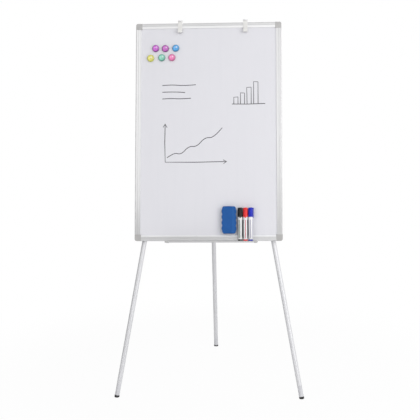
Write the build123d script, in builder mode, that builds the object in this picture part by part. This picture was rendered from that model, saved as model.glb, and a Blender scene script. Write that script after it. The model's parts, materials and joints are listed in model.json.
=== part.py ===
from build123d import *
import os
from math import atan, cos, degrees, radians, sin, tan

# Tripod whiteboard easel, standing open on three telescoping legs. Millimetres, +Z up, writing side to -Y.
# Board coordinates: u to the right, v up along the board from its lower edge, w out of the writing side.
# Leg coordinates: origin on the pivot, z down the leg, x towards the board, y across it.

# Stance
board_width = 600
board_height = 900
board_lean = 12.5            # degrees back from upright
board_bottom = 622           # height of the frame's lower front edge
leg_inset = 38.6             # side of the board to each front leg's axis, where the leg rests
leg_run = 141.4              # from there in to the leg's pivot, across the board
rear_spread = 25.35          # degrees, rear leg from the back of the board

# Clearances
slide_fit = 0.05             # radial, tube in tube
pin_fit = 0.05               # radial, pin in its hole
seat_gap = 0.1               # pieces of one body that fit into each other
free_gap = 0.3               # pieces that move past each other

# Frame rails, drawn as s from the outer edge inwards and w
rail_face = 22
rail_depth = 20
rail_wall = 1.6
lip_bead = 4.5               # inner bead that presses on the panel
lip_depth = 3                # panel's face below the front of the rail
groove_place = 11
groove_width = 1.4
groove_depth = 0.7
box_width = 14               # closed box along the back of the rail
box_depth = 5.4
rail_edge_radius = 2.5

# Panel
sheet_thickness = 0.5
panel_inset = 2.6            # panel's edge from the outer edge of the frame

# Corner caps
corner_size = 26
corner_radius = 8
corner_proud = 0.6
corner_edge = 0.5
prong_length = 26
prong_root = 1               # prong's overlap with the cap

# Pen tray
tray_length = 345
tray_offset = 13             # to the right of the board's centre
tray_reach = 48              # in front of the frame
tray_floor = 1.8
tray_drop = 5                # floor's top below the frame's lower edge
tray_lip_height = 4
tray_lip_width = 2.6
tray_lip_round = 1.2
tray_flange = 16             # flange under the bottom rail, with a web down to the floor
tray_grooves = 3
tray_groove_width = 3
tray_groove_pitch = 12
tray_groove_depth = 0.5
tray_end_back = 6
tray_end_front = 14
tray_end_drop = 1.7
tray_end_corner = 5
tray_end_rim = 2.2

# Head bracket, a bent channel that hangs from the top rail
pivot_drop = 75              # pivots below the top edge of the board
bracket_end = 25             # bracket beyond the pivots
bracket_sheet = 2.5
bracket_below = 25           # walls below the pivots
bracket_above = 25           # roof above the pivots
bracket_clear = 9            # top of the board to the flange's edge
bracket_bend = 3
bracket_corner = 12

# Rear clevis and pivot pins
rear_reach = 20              # rear pivot behind the bracket
clevis_ear = 3
clevis_base_width = 64
clevis_base_height = 44
clevis_eye_radius = 12
clevis_stop_start = 22       # stop for the spread leg, measured down the leg
clevis_stop_length = 10
clevis_stop_rim = 1.5        # ear left round the end of the stop
clevis_corner = 6
clevis_clear = 60            # room cut between the ears, past their ends
pin_radius = 4
pin_head_radius = 6.5
pin_head_height = 2.4

# Legs, with lengths measured from the pivot
shoulder_start = 17
shoulder_length = 8
plug_length = 40
upper_radius = 11
upper_wall = 1
lower_radius = 9.5
lower_wall = 1
tube_overlap = 110
bush_head = 12
bush_spigot = 14

# Lock collars and their cam levers
collar_radius = 16
collar_length = 44
collar_socket = 26
collar_clear = 29.7          # end of the collar to the middle of the leg rest, along the leg
lug_reach = 27
lug_width = 18
slit_width = 2
lever_pin_x = -21.3
lever_pin_y = 15.6
lever_pin_radius = 2
lever_height = 16
lever_gap = 1.2              # lever to collar, radially
lever_thickness = 3.4
lever_lobe = 5.8
lever_tip_angle = 50         # degrees from the leg's board side
lever_root_angle = 122
lever_grip = 2.6
ear_height = 5

# Feet, with heights measured up the leg from where its axis meets the floor
foot_top = 52
foot_neck_radius = 9.2
foot_flare_radius = 9.6
foot_flare_height = 20
foot_edge = 1.5
foot_spigot = 30
foot_stub_radius = 7.5
foot_stub = 4
rubber_radius = 10
rubber_height = 7.5
rubber_sole = 2.6
rubber_edge = 2.4

# Leg rests on the back of the bottom rail
rest_height = 18
rest_wall = 3
rest_inner = 22              # from the leg's axis inwards
rest_edge = 1

# Flipchart hooks on the top rail
hook_insets = {"left": 183, "right": 148}   # in from the side of the board
hook_width = 18
hook_sheet = 3.5
hook_bridge = 4
hook_drop = 42               # below the top edge
hook_back_drop = 7.5
hook_slot = 8                # room for a pad behind the upturned peg
hook_peg = 2.8
hook_peg_height = 14
hook_neck_radius = 6.5
hook_neck_height = 3
hook_screw_radius = 2.5
knob_radius = 10
knob_height = 5.5
knob_notches = 6
knob_notch_radius = 2.6

# Eraser
eraser_place = 101.5         # in from the right end of the tray
eraser_v = 84
eraser_width = 55
eraser_height = 110
eraser_corner = 9
eraser_foam = 17
eraser_felt = 4
felt_inset = 1.5
eraser_waves = 4
wave_radius = 16
wave_reach = 2.5

# Marker pens, with heights measured from the pen's foot, and places in from the right end of the tray
pen_places = {"black": 56.5, "red": 35.5, "blue": 14.5}
clip_turns = {"black": 90, "red": 90, "blue": 0}   # degrees from the right towards the reader
pen_length = 138
pen_radius = 9
plug_height = 10
plug_radius = 8.8
cap_radius = 9.75
cap_length = 37.5
cap_wall = 1.6
cap_roof = 3
cap_edge = 1.6
neck_gap = 0.4               # radial, pen's neck in the cap
neck_length = 6
nozzle_radius = 3.5
nozzle_length = 14
clip_width = 5
clip_thickness = 1.8
clip_gap = 1.5               # behind the clip
clip_drop = 1                # below the top of the cap
clip_length = 41
clip_root = 4

# Magnets, placed from the board's left edge and down from its top edge
magnet_places = {
    "magnet_purple": (82, 105),
    "magnet_violet": (122, 106),
    "magnet_blue": (165, 105),
    "magnet_yellow": (61, 146),
    "magnet_mint": (107, 144),
    "magnet_pink": (149, 144),
}
magnet_radius = 14.8
magnet_height = 8
magnet_skirt = 3.6
magnet_rim_radius = 10.6
magnet_dish = 1.4

# Directions and places that follow from the sizes
lean = radians(board_lean)
rear_lean = radians(rear_spread - board_lean)
half_width = board_width / 2
across = Vector(1, 0, 0)
up_board = Vector(0, sin(lean), cos(lean))
out_board = Vector(0, -cos(lean), sin(lean))
pivot_height = board_height - pivot_drop
rest_middle = rail_face / 2
rest_reach = half_width - leg_inset
splay = atan(leg_run / (pivot_height - rest_middle))
front_splay = degrees(splay)
pivot_spacing = 2 * (rest_reach - leg_run)
bracket_length = pivot_spacing + 2 * bracket_end
upper_end = (pivot_height - rest_middle) / cos(splay) - collar_clear - collar_length + collar_socket
blade_thickness = 2 * upper_radius
bracket_gap = blade_thickness + 2 * free_gap
clevis_gap = blade_thickness + 2 * free_gap
leg_setback = rail_depth + bracket_sheet + bracket_gap / 2
bracket_depth = 2 * bracket_sheet + bracket_gap
rear_setback = rail_depth + bracket_depth + rear_reach
front_pivot_z = board_bottom + pivot_height * cos(lean) - leg_setback * sin(lean)
rear_pivot_z = board_bottom + pivot_height * cos(lean) - rear_setback * sin(lean)
front_foot_y = pivot_height * sin(lean) + leg_setback * cos(lean) - front_pivot_z * tan(lean)
rear_foot_y = pivot_height * sin(lean) + rear_setback * cos(lean) + rear_pivot_z * tan(rear_lean)
board_origin = Vector(0, -(front_foot_y + rear_foot_y) / 2, board_bottom)
tray_right = tray_offset + tray_length / 2
tray_left = tray_offset - tray_length / 2
eraser_u = tray_right - eraser_place
hook_places = {"left": hook_insets["left"] - half_width, "right": half_width - hook_insets["right"]}
out_axis = Axis(board_origin, out_board)
up_axis = Axis(board_origin, up_board)


def board_point(u, v, w):
    return board_origin + across * u + up_board * v + out_board * w


# Plane parallel to the board, where a sketch is drawn in u and v
def board_plane(w):
    return Plane(origin=board_point(0, 0, w), x_dir=across, z_dir=out_board)


# Plane square to the board's width, where a sketch is drawn in w and v; it faces -X
def side_plane(u):
    return Plane(origin=board_point(u, 0, 0), x_dir=out_board, z_dir=(-1, 0, 0))


# Rectangle between two corners of a sketch
def block(x_low, y_low, x_high, y_high, mode=Mode.ADD):
    with Locations(((x_low + x_high) / 2, (y_low + y_high) / 2)):
        Rectangle(x_high - x_low, y_high - y_low, mode=mode)


def keep(part, node):
    part.label = node
    export_step(part, f"parts/{node}.step")


os.makedirs("parts", exist_ok=True)

# Frame rails: four lengths of one extrusion, cut square between the corner caps
rail_starts = {
    "frame_bottom": ((corner_size - half_width, 0), up_board, across),
    "frame_top": ((half_width - corner_size, board_height), -up_board, -across),
    "frame_left": ((-half_width, board_height - corner_size), across, -up_board),
    "frame_right": ((half_width, corner_size), -across, up_board),
}
rail_lengths = {
    "frame_bottom": board_width - 2 * corner_size,
    "frame_top": board_width - 2 * corner_size,
    "frame_left": board_height - 2 * corner_size,
    "frame_right": board_height - 2 * corner_size,
}
for node, ((start_u, start_v), inward, along) in rail_starts.items():
    section = Plane(board_point(start_u, start_v, 0), x_dir=inward, z_dir=along)
    with BuildPart() as rail:
        with BuildSketch(section) as profile:
            block(0, -rail_depth, rail_wall, 0)
            block(0, -rail_wall, rail_face, 0)
            block(rail_face - lip_bead, -lip_depth, rail_face, 0)
            block(0, -rail_depth, box_width, box_depth - rail_depth)
            block(rail_wall, rail_wall - rail_depth, box_width - rail_wall,
                  box_depth - rail_wall - rail_depth, mode=Mode.SUBTRACT)
            outer_front = profile.vertices().group_by(Axis.Y)[-1].sort_by(Axis.X)[0]
            fillet(outer_front, rail_edge_radius)
            block(groove_place, -groove_depth, groove_place + groove_width, 0, mode=Mode.SUBTRACT)
        extrude(amount=rail_lengths[node])
    keep(rail.part, node)

# Panel: steel writing sheet, board core and steel back sheet, face to face
panel_back = rail_depth - box_depth
panel_size = (board_width - 2 * panel_inset, board_height - 2 * panel_inset)
layers = {
    "writing_surface": (lip_depth, lip_depth + sheet_thickness),
    "board_core": (lip_depth + sheet_thickness, panel_back - sheet_thickness),
    "back_sheet": (panel_back - sheet_thickness, panel_back),
}
for node, (front, back) in layers.items():
    with BuildPart() as layer:
        with BuildSketch(board_plane(-front)):
            with Locations((0, board_height / 2)):
                Rectangle(*panel_size)
        extrude(amount=front - back)
    keep(layer.part, node)

# Corner caps: a slot takes the corner of the panel, and a prong goes into each rail's back box
prong_low = rail_wall + seat_gap
prong_high = box_width - rail_wall - seat_gap
with BuildPart() as corner_caps:
    with BuildSketch(board_plane(corner_proud)):
        with Locations((0, board_height / 2)):
            RectangleRounded(board_width, board_height, corner_radius)
            Rectangle(board_width - 2 * corner_size, board_height, mode=Mode.SUBTRACT)
            Rectangle(board_width, board_height - 2 * corner_size, mode=Mode.SUBTRACT)
    extrude(amount=-rail_depth - corner_proud)
    chamfer(corner_caps.faces().filter_by(board_plane(0)).edges(), corner_edge)
    with BuildSketch(board_plane(-lip_depth)):
        with Locations((0, board_height / 2)):
            Rectangle(panel_size[0] + 2 * seat_gap, panel_size[1] + 2 * seat_gap)
    extrude(amount=lip_depth - panel_back, mode=Mode.SUBTRACT)
    with BuildSketch(board_plane(-rail_depth + rail_wall + seat_gap)):
        for side in (-1, 1):
            for edge, inward in ((0, 1), (board_height, -1)):
                prong_edges = sorted((edge + inward * prong_low, edge + inward * prong_high))
                prong_ends = sorted((side * (half_width - corner_size + prong_root),
                                     side * (half_width - corner_size - prong_length)))
                block(prong_ends[0], prong_edges[0], prong_ends[1], prong_edges[1])
                prong_edges = sorted((side * (half_width - prong_low), side * (half_width - prong_high)))
                prong_ends = sorted((edge + inward * (corner_size - prong_root),
                                     edge + inward * (corner_size + prong_length)))
                block(prong_edges[0], prong_ends[0], prong_edges[1], prong_ends[1])
    extrude(amount=box_depth - 2 * rail_wall - 2 * seat_gap)
keep(corner_caps.part, "corner_caps")

# Pen tray: a shallow extrusion screwed up into the bottom rail, with a rolled lip
with BuildPart() as pen_tray:
    with BuildSketch(side_plane(tray_right)) as profile:
        block(-tray_floor, -tray_drop - tray_floor, tray_reach, -tray_drop)
        block(-tray_floor, -tray_drop, 0, 0)
        block(-tray_flange, -tray_floor, 0, 0)
        block(tray_reach - tray_lip_width, -tray_drop, tray_reach, tray_lip_height - tray_drop)
        fillet(profile.vertices().group_by(Axis.X)[-1], tray_lip_round)
        for groove in range(tray_grooves):
            groove_start = (groove + 1) * tray_groove_pitch
            block(groove_start, -tray_drop - tray_groove_depth, groove_start + tray_groove_width,
                  -tray_drop, mode=Mode.SUBTRACT)
    extrude(amount=tray_length)
keep(pen_tray.part, "pen_tray")

# Tray ends: flared moulded caps that hang a little below the tray and are dished level with its floor
end_top = tray_lip_height - tray_drop
end_bottom = -tray_drop - tray_floor - tray_end_drop


def tray_end_outline(end, out, v, rim):
    inner = end + out * (seat_gap + rim)
    with BuildSketch(Plane(board_point(0, v, 0), x_dir=across, z_dir=up_board)) as outline:
        with BuildLine():
            Polyline((inner, -seat_gap - rim), (end + out * (tray_end_back - rim), -seat_gap - rim),
                     (end + out * (tray_end_front - rim), rim - tray_reach), (inner, rim - tray_reach),
                     close=True)
        make_face()
        front_outer = outline.vertices().sort_by(Axis.X)[0 if out < 0 else -1]
        fillet(front_outer, tray_end_corner - rim)
    return outline.sketch


with BuildPart() as tray_ends:
    for end, out in ((tray_left, -1), (tray_right, 1)):
        extrude(tray_end_outline(end, out, end_bottom, 0), amount=end_top - end_bottom)
        extrude(tray_end_outline(end, out, end_top, tray_end_rim), amount=-tray_lip_height,
                mode=Mode.SUBTRACT)
keep(tray_ends.part, "tray_ends")

# Head bracket: flange, roof and back wall bent from one sheet, open below for the legs
wall_back = -rail_depth - bracket_depth
wall_low = pivot_height - bracket_below
roof_top = pivot_height + bracket_above
pivot_places = [(-pivot_spacing / 2, pivot_height), (pivot_spacing / 2, pivot_height)]
with BuildPart() as head_bracket:
    with BuildSketch(side_plane(bracket_length / 2)) as profile:
        block(-rail_depth - bracket_sheet, wall_low, -rail_depth, board_height - bracket_clear)
        block(wall_back, roof_top - bracket_sheet, -rail_depth, roof_top)
        block(wall_back, wall_low, wall_back + bracket_sheet, roof_top)
        outer_bend = profile.vertices().group_by(Axis.X)[0].sort_by(Axis.Y)[-1]
        fillet(outer_bend, bracket_bend)
    extrude(amount=bracket_length)
    back_edges = head_bracket.edges().filter_by(out_axis).group_by(out_axis)[0]
    fillet(back_edges.group_by(up_axis)[0], bracket_corner)
    with BuildSketch(board_plane(wall_back)):
        with Locations(*pivot_places):
            Circle(pin_radius + pin_fit)
    extrude(amount=bracket_depth, mode=Mode.SUBTRACT)
keep(head_bracket.part, "head_bracket")

# Rear clevis: two ears on a base, with a stop across their back for the spread leg
rear_down = up_board * -cos(radians(rear_spread)) + out_board * -sin(radians(rear_spread))
rear_front = out_board * cos(radians(rear_spread)) + up_board * -sin(radians(rear_spread))
rear_pivot = board_point(0, pivot_height, -rear_setback)
clevis_width = clevis_gap + 2 * clevis_ear
stop_back = -upper_radius - free_gap - clevis_ear
stop_middle = rear_pivot + rear_front * (stop_back + clevis_ear / 2) + rear_down * (
    clevis_stop_start + clevis_stop_length / 2)
stop_offset = stop_middle - board_origin
with BuildPart() as rear_clevis:
    with BuildSketch(board_plane(wall_back)):
        with Locations((0, pivot_height)):
            RectangleRounded(clevis_base_width, clevis_base_height, clevis_corner)
    extrude(amount=-clevis_ear)
    with BuildSketch(side_plane(clevis_width / 2)):
        with Locations((-rear_setback, pivot_height)):
            Circle(clevis_eye_radius)
        block(wall_back - clevis_ear, pivot_height - clevis_base_height / 2 + clevis_ear,
              wall_back, pivot_height + clevis_base_height / 2 - clevis_ear)
        with Locations((stop_offset.dot(out_board), stop_offset.dot(up_board))):
            Circle(clevis_stop_length / 2 + clevis_stop_rim)
        make_hull()
    extrude(amount=clevis_width)
    with BuildSketch(side_plane(clevis_gap / 2)):
        block(-rear_setback - clevis_clear, pivot_height - clevis_clear, wall_back - clevis_ear,
              pivot_height + clevis_clear)
    extrude(amount=clevis_gap, mode=Mode.SUBTRACT)
    with BuildSketch(Plane(stop_middle - across * clevis_width / 2, x_dir=rear_down, z_dir=across)):
        SlotOverall(clevis_stop_length, clevis_ear)
    extrude(amount=clevis_width)
    with BuildSketch(side_plane(clevis_width)):
        with Locations((-rear_setback, pivot_height)):
            Circle(pin_radius + pin_fit)
    extrude(amount=2 * clevis_width, mode=Mode.SUBTRACT)
keep(rear_clevis.part, "rear_clevis")

# Pivot pins: a headed pin through the bracket at each front leg and one across the clevis
with BuildPart() as pivot_pins:
    for start, length, radius in ((0, -bracket_depth, pin_radius),
                                  (-bracket_depth, -pin_head_height, pin_head_radius)):
        with BuildSketch(board_plane(start - rail_depth)):
            with Locations(*pivot_places):
                Circle(radius)
        extrude(amount=length)
    for start, length, radius in ((0, clevis_width, pin_radius),
                                  (clevis_width, pin_head_height, pin_head_radius)):
        with BuildSketch(side_plane(clevis_width / 2 - start)):
            with Locations((-rear_setback, pivot_height)):
                Circle(radius)
        extrude(amount=length)
keep(pivot_pins.part, "pivot_pins")

# Leg rests: open towards the middle, so that each spread leg stops against its outer wall
rest_face = leg_setback - lower_radius - free_gap
rest_back = leg_setback + lower_radius + free_gap
rest_outer = (lower_radius + free_gap) / cos(splay) + rest_height / 2 * tan(splay) + rest_wall
with BuildPart() as leg_rests:
    for side in (-1, 1):
        ends = sorted((side * (rest_reach + rest_outer), side * (rest_reach - rest_inner)))
        with BuildSketch(board_plane(-rail_depth)):
            block(ends[0], rest_middle - rest_height / 2, ends[1], rest_middle + rest_height / 2)
        extrude(amount=rail_depth - rest_back - rest_wall)
    chamfer(leg_rests.faces().sort_by(out_axis)[:2].edges(), rest_edge)
    for side in (-1, 1):
        with BuildSketch(board_plane(-rest_face)):
            with Locations(Location((side * rest_reach, rest_middle), side * front_splay)):
                with Locations((side * (lower_radius + free_gap - rest_height), 0)):
                    Rectangle(2 * rest_height, 2 * rest_height)
        extrude(amount=rest_face - rest_back, mode=Mode.SUBTRACT)
keep(leg_rests.part, "leg_rests")

# Legs: the same pieces on three planes, whose z runs down the leg and whose x points to the board


def front_leg_plane(side):
    down = across * (side * sin(splay)) + up_board * -cos(splay)
    return Plane(board_point(side * pivot_spacing / 2, pivot_height, -leg_setback),
                 x_dir=out_board, z_dir=down)


legs = {
    "left": (front_leg_plane(-1), front_pivot_z, "x", 1),
    "right": (front_leg_plane(1), front_pivot_z, "x", -1),
    "rear": (Plane(rear_pivot, x_dir=rear_front, z_dir=rear_down), rear_pivot_z, "y", 1),
}
bore = upper_radius - upper_wall
shoulder_end = shoulder_start + shoulder_length
collar_start = upper_end - collar_socket
collar_middle = collar_start + collar_length / 2
lower_start = upper_end - tube_overlap


# Knuckle: a blade with a round eye on the pin, and a plug that the upper tube is pressed on
def make_knuckle(leg, pin_axis):
    pin_direction = leg.x_dir if pin_axis == "x" else leg.y_dir
    with BuildPart() as knuckle:
        with BuildSketch(Plane(leg.origin, x_dir=leg.z_dir, z_dir=pin_direction)):
            Circle(upper_radius)
            block(0, -upper_radius, shoulder_start, upper_radius)
        extrude(amount=blade_thickness / 2, both=True)
        with BuildSketch(leg.offset(shoulder_start)):
            Circle(upper_radius)
        extrude(amount=shoulder_length)
        with BuildSketch(leg.offset(shoulder_end)):
            Circle(bore - slide_fit)
        extrude(amount=plug_length)
        with BuildSketch(Plane(leg.origin, x_dir=leg.z_dir, z_dir=pin_direction)):
            Circle(pin_radius + pin_fit)
        extrude(amount=blade_thickness, both=True, mode=Mode.SUBTRACT)
    return knuckle.part


def make_tube(leg, start, end, radius, wall):
    with BuildPart() as tube:
        with BuildSketch(leg.offset(start)):
            Circle(radius)
            Circle(radius - wall, mode=Mode.SUBTRACT)
        extrude(amount=end - start)
    return tube.part


# Guide bush: plugs the lower tube's top end and runs in the upper tube
def make_bush(leg):
    with BuildPart() as bush:
        with BuildSketch(leg.offset(lower_start - bush_head)):
            Circle(bore - slide_fit)
        extrude(amount=bush_head)
        with BuildSketch(leg.offset(lower_start)):
            Circle(lower_radius - lower_wall - slide_fit)
        extrude(amount=bush_spigot)
    return bush.part


# Lock collar: a split ring with two clamp lugs at the back and two ears that carry the lever's pin
def make_collar(leg, side):
    pin_place = (lever_pin_x, side * lever_pin_y)
    ear_length = lever_height + 2 * free_gap + 2 * ear_height
    with BuildPart() as collar:
        with BuildSketch(leg.offset(collar_start)):
            Circle(collar_radius)
        extrude(amount=collar_length)
        with BuildSketch(leg.offset(collar_middle - ear_length / 2)):
            block(-lug_reach, -lug_width / 2, 0, lug_width / 2)
        extrude(amount=ear_length)
        for start in (collar_middle - ear_length / 2, collar_middle + ear_length / 2 - ear_height):
            with BuildSketch(leg.offset(start)):
                with Locations(pin_place):
                    Circle(lever_lobe)
                with Locations((-collar_radius / 2, side * collar_radius / 2)):
                    Circle(lever_lobe / 2)
                make_hull()
            extrude(amount=ear_height)
        with BuildSketch(leg.offset(collar_middle - ear_length / 2)):
            with Locations(pin_place):
                Circle(lever_pin_radius)
        extrude(amount=ear_length)
        with BuildSketch(leg.offset(collar_start)):
            Circle(upper_radius + slide_fit)
        extrude(amount=collar_socket, mode=Mode.SUBTRACT)
        with BuildSketch(leg.offset(collar_start)):
            Circle(lower_radius + slide_fit)
            block(-lug_reach - slit_width, -slit_width / 2, 0, slit_width / 2)
        extrude(amount=collar_length, mode=Mode.SUBTRACT)
    return collar.part


# Cam lever: wraps round the collar when shut, with a lobe on the pin and a lifted tip
def make_lever(leg, side):
    inner = collar_radius + lever_gap
    middle = inner + lever_thickness / 2
    tip = radians(lever_tip_angle)
    root = radians(lever_root_angle)
    with BuildPart() as lever:
        with BuildSketch(leg.offset(collar_middle - lever_height / 2)):
            with BuildLine():
                far = 2 * inner
                Polyline((0, 0), (far * cos(tip), side * far * sin(tip)), (far, side * far),
                         (0, side * 2 * far), (far * cos(root), side * far * sin(root)), close=True)
            make_face()
            Circle(inner + lever_thickness, mode=Mode.INTERSECT)
            Circle(inner, mode=Mode.SUBTRACT)
            with Locations((middle * cos(tip), side * middle * sin(tip))):
                Circle(lever_grip)
        extrude(amount=lever_height)
        with BuildSketch(leg.offset(collar_middle - lever_height / 2)):
            with Locations((lever_pin_x, side * lever_pin_y)):
                Circle(lever_lobe)
            with Locations((middle * cos(root), side * middle * sin(root))):
                Circle(lever_thickness / 2)
            make_hull()
        extrude(amount=lever_height)
        with BuildSketch(leg.offset(collar_middle - lever_height / 2)):
            with Locations((lever_pin_x, side * lever_pin_y)):
                Circle(lever_pin_radius + pin_fit)
        extrude(amount=lever_height, mode=Mode.SUBTRACT)
    return lever.part


# Foot plane: origin where the leg's axis meets the floor, drawn in radius and height up the leg
def foot_plane(leg, length):
    return Plane(leg.origin + leg.z_dir * length, x_dir=leg.x_dir, z_dir=leg.y_dir)


# Foot plug: pressed into the lower tube, waisted, with a flare that the rubber seats against
def make_foot_plug(leg, length):
    section = foot_plane(leg, length)
    with BuildPart() as plug:
        with BuildSketch(section):
            with BuildLine():
                Polyline((0, rubber_height - foot_stub), (foot_stub_radius, rubber_height - foot_stub),
                         (foot_stub_radius, rubber_height), (foot_flare_radius, rubber_height),
                         (foot_flare_radius, foot_flare_height - foot_edge),
                         (foot_neck_radius, foot_flare_height + foot_edge), (foot_neck_radius, foot_top),
                         (lower_radius - lower_wall - slide_fit, foot_top),
                         (lower_radius - lower_wall - slide_fit, foot_top + foot_spigot),
                         (0, foot_top + foot_spigot), close=True)
            make_face()
        revolve(axis=Axis(section.origin, -leg.z_dir))
    return plug.part


# Rubber foot: a cup on the plug's stub, cut flat where it stands on the floor
def make_rubber(leg, length):
    section = foot_plane(leg, length)
    with BuildPart() as rubber:
        with BuildSketch(section) as profile:
            block(0, -rubber_sole, rubber_radius, rubber_height)
            chamfer(profile.vertices().group_by(Axis.X)[-1].sort_by(Axis.Y)[0], rubber_edge)
            block(0, rubber_height - foot_stub - seat_gap, foot_stub_radius + slide_fit, rubber_height,
                  mode=Mode.SUBTRACT)
        revolve(axis=Axis(section.origin, -leg.z_dir))
        split(bisect_by=Plane.XY, keep=Keep.TOP)
    return rubber.part


for node, (leg, pivot_z, pin_axis, side) in legs.items():
    length = pivot_z / -leg.z_dir.Z
    keep(make_knuckle(leg, pin_axis), f"knuckle_{node}")
    keep(make_tube(leg, shoulder_end, upper_end, upper_radius, upper_wall), f"upper_tube_{node}")
    keep(make_collar(leg, side), f"lock_collar_{node}")
    keep(make_lever(leg, side), f"lock_lever_{node}")
    keep(make_bush(leg), f"guide_bush_{node}")
    keep(make_tube(leg, lower_start, length - foot_top, lower_radius, lower_wall), f"lower_tube_{node}")
    keep(make_foot_plug(leg, length), f"foot_plug_{node}")
    keep(make_rubber(leg, length), f"rubber_foot_{node}")

# Flipchart hooks: saddles over the top rail, each with an upturned peg for a pad and a clamp screw
hook_top = board_height + free_gap + hook_bridge
hook_front = free_gap + hook_sheet
hook_back = -rail_depth - free_gap
for node, place in hook_places.items():
    with BuildPart() as hook:
        with BuildSketch(side_plane(place + hook_width / 2)):
            block(free_gap, board_height - hook_drop, hook_front, hook_top)
            block(hook_back - hook_sheet, board_height + free_gap, hook_front, hook_top)
            block(hook_back - hook_sheet, board_height - hook_back_drop, hook_back, hook_top)
            block(hook_front, board_height - hook_drop, hook_front + hook_slot + hook_peg,
                  board_height - hook_drop + hook_sheet)
            block(hook_front + hook_slot, board_height - hook_drop, hook_front + hook_slot + hook_peg,
                  board_height - hook_drop + hook_peg_height)
        extrude(amount=hook_width)
        post = Plane(board_point(place, hook_top, -rail_depth / 2), x_dir=across, z_dir=up_board)
        with BuildSketch(post):
            Circle(hook_neck_radius)
        extrude(amount=hook_neck_height)
        with BuildSketch(post.offset(hook_neck_height)):
            Circle(hook_screw_radius + pin_fit)
        extrude(amount=-hook_neck_height - hook_bridge, mode=Mode.SUBTRACT)
    keep(hook.part, f"hook_{node}")

    knob_start = hook_neck_height + free_gap
    with BuildPart() as knob:
        with BuildSketch(post.offset(knob_start)):
            Circle(knob_radius)
            with PolarLocations(knob_radius + knob_notch_radius / 2, knob_notches):
                Circle(knob_notch_radius, mode=Mode.SUBTRACT)
        extrude(amount=knob_height)
        with BuildSketch(post.offset(knob_start)):
            Circle(hook_screw_radius)
        extrude(amount=-knob_start - hook_bridge)
    keep(knob.part, f"hook_knob_{node}")

# Eraser: a felt pad on a foam block with waved long sides
wave_pitch = (eraser_height - 2 * eraser_corner) / eraser_waves
felt_back = free_gap - lip_depth
with BuildPart() as eraser_pad:
    with BuildSketch(board_plane(felt_back)):
        with Locations((eraser_u, eraser_v)):
            RectangleRounded(eraser_width - 2 * felt_inset, eraser_height - 2 * felt_inset,
                             eraser_corner - felt_inset)
    extrude(amount=eraser_felt)
keep(eraser_pad.part, "eraser_felt")

with BuildPart() as eraser_block:
    with BuildSketch(board_plane(felt_back + eraser_felt)):
        with Locations((eraser_u, eraser_v)):
            RectangleRounded(eraser_width, eraser_height, eraser_corner)
            with GridLocations(eraser_width + 2 * (wave_reach - wave_radius), wave_pitch, 2, eraser_waves):
                Circle(wave_radius)
    extrude(amount=eraser_foam)
keep(eraser_block.part, "eraser_foam")

# Marker pens: an end plug, a barrel with its neck and nozzle, and a cap with a clip
pen_foot = free_gap - tray_drop
pen_back = cap_radius + free_gap
cap_start = pen_length - cap_length
barrel_top = cap_start - free_gap
neck_radius = cap_radius - cap_wall - neck_gap
for colour, place in pen_places.items():
    section = Plane(board_point(tray_right - place, pen_foot, pen_back), x_dir=across, z_dir=out_board)
    pen_axis = Axis(section.origin, up_board)
    with BuildPart() as plug:
        with BuildSketch(section):
            with BuildLine():
                Polyline((0, 0), (plug_radius, 0), (plug_radius, plug_height), (0, plug_height), close=True)
            make_face()
        revolve(axis=pen_axis)
    keep(plug.part, f"pen_plug_{colour}")

    neck_top = barrel_top + neck_length
    nozzle_top = neck_top + nozzle_length
    with BuildPart() as barrel:
        with BuildSketch(section):
            with BuildLine():
                Polyline((0, plug_height), (pen_radius, plug_height), (pen_radius, barrel_top),
                         (neck_radius, barrel_top), (neck_radius, neck_top), (nozzle_radius, nozzle_top),
                         (0, nozzle_top), close=True)
            make_face()
        revolve(axis=pen_axis)
    keep(barrel.part, f"pen_barrel_{colour}")

    turn = radians(clip_turns[colour])
    clip_side = across * cos(turn) + out_board * sin(turn)
    clip_section = Plane(section.origin, x_dir=clip_side, z_dir=clip_side.cross(up_board))
    clip_top = pen_length - clip_drop
    clip_outer = cap_radius + clip_gap + clip_thickness
    with BuildPart() as cap:
        with BuildSketch(section):
            with BuildLine():
                Polyline((cap_radius - cap_wall, cap_start), (cap_radius, cap_start),
                         (cap_radius, pen_length - cap_edge), (cap_radius - cap_edge, pen_length),
                         (0, pen_length), (0, pen_length - cap_roof),
                         (cap_radius - cap_wall, pen_length - cap_roof), close=True)
            make_face()
        revolve(axis=pen_axis)
        with BuildSketch(clip_section):
            block(cap_radius - cap_wall / 2, clip_top - clip_root, clip_outer, clip_top)
            block(clip_outer - clip_thickness, clip_top - clip_length, clip_outer, clip_top)
        extrude(amount=clip_width / 2, both=True)
    keep(cap.part, f"pen_cap_{colour}")

# Magnets: round buttons with a sloped rim and a dished top
for node, (from_left, from_top) in magnet_places.items():
    place = board_point(from_left - half_width, board_height - from_top, felt_back)
    section = Plane(place, x_dir=across, z_dir=-up_board)
    with BuildPart() as magnet:
        with BuildSketch(section):
            with BuildLine():
                Polyline((0, 0), (magnet_radius, 0), (magnet_radius, magnet_skirt),
                         (magnet_rim_radius, magnet_height), (0, magnet_height - magnet_dish), close=True)
            make_face()
        revolve(axis=Axis(place, out_board))
    keep(magnet.part, node)
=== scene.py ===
import bmesh
import bpy
import json
from math import cos, pi, radians, sin
from mathutils import Matrix, Vector

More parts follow.
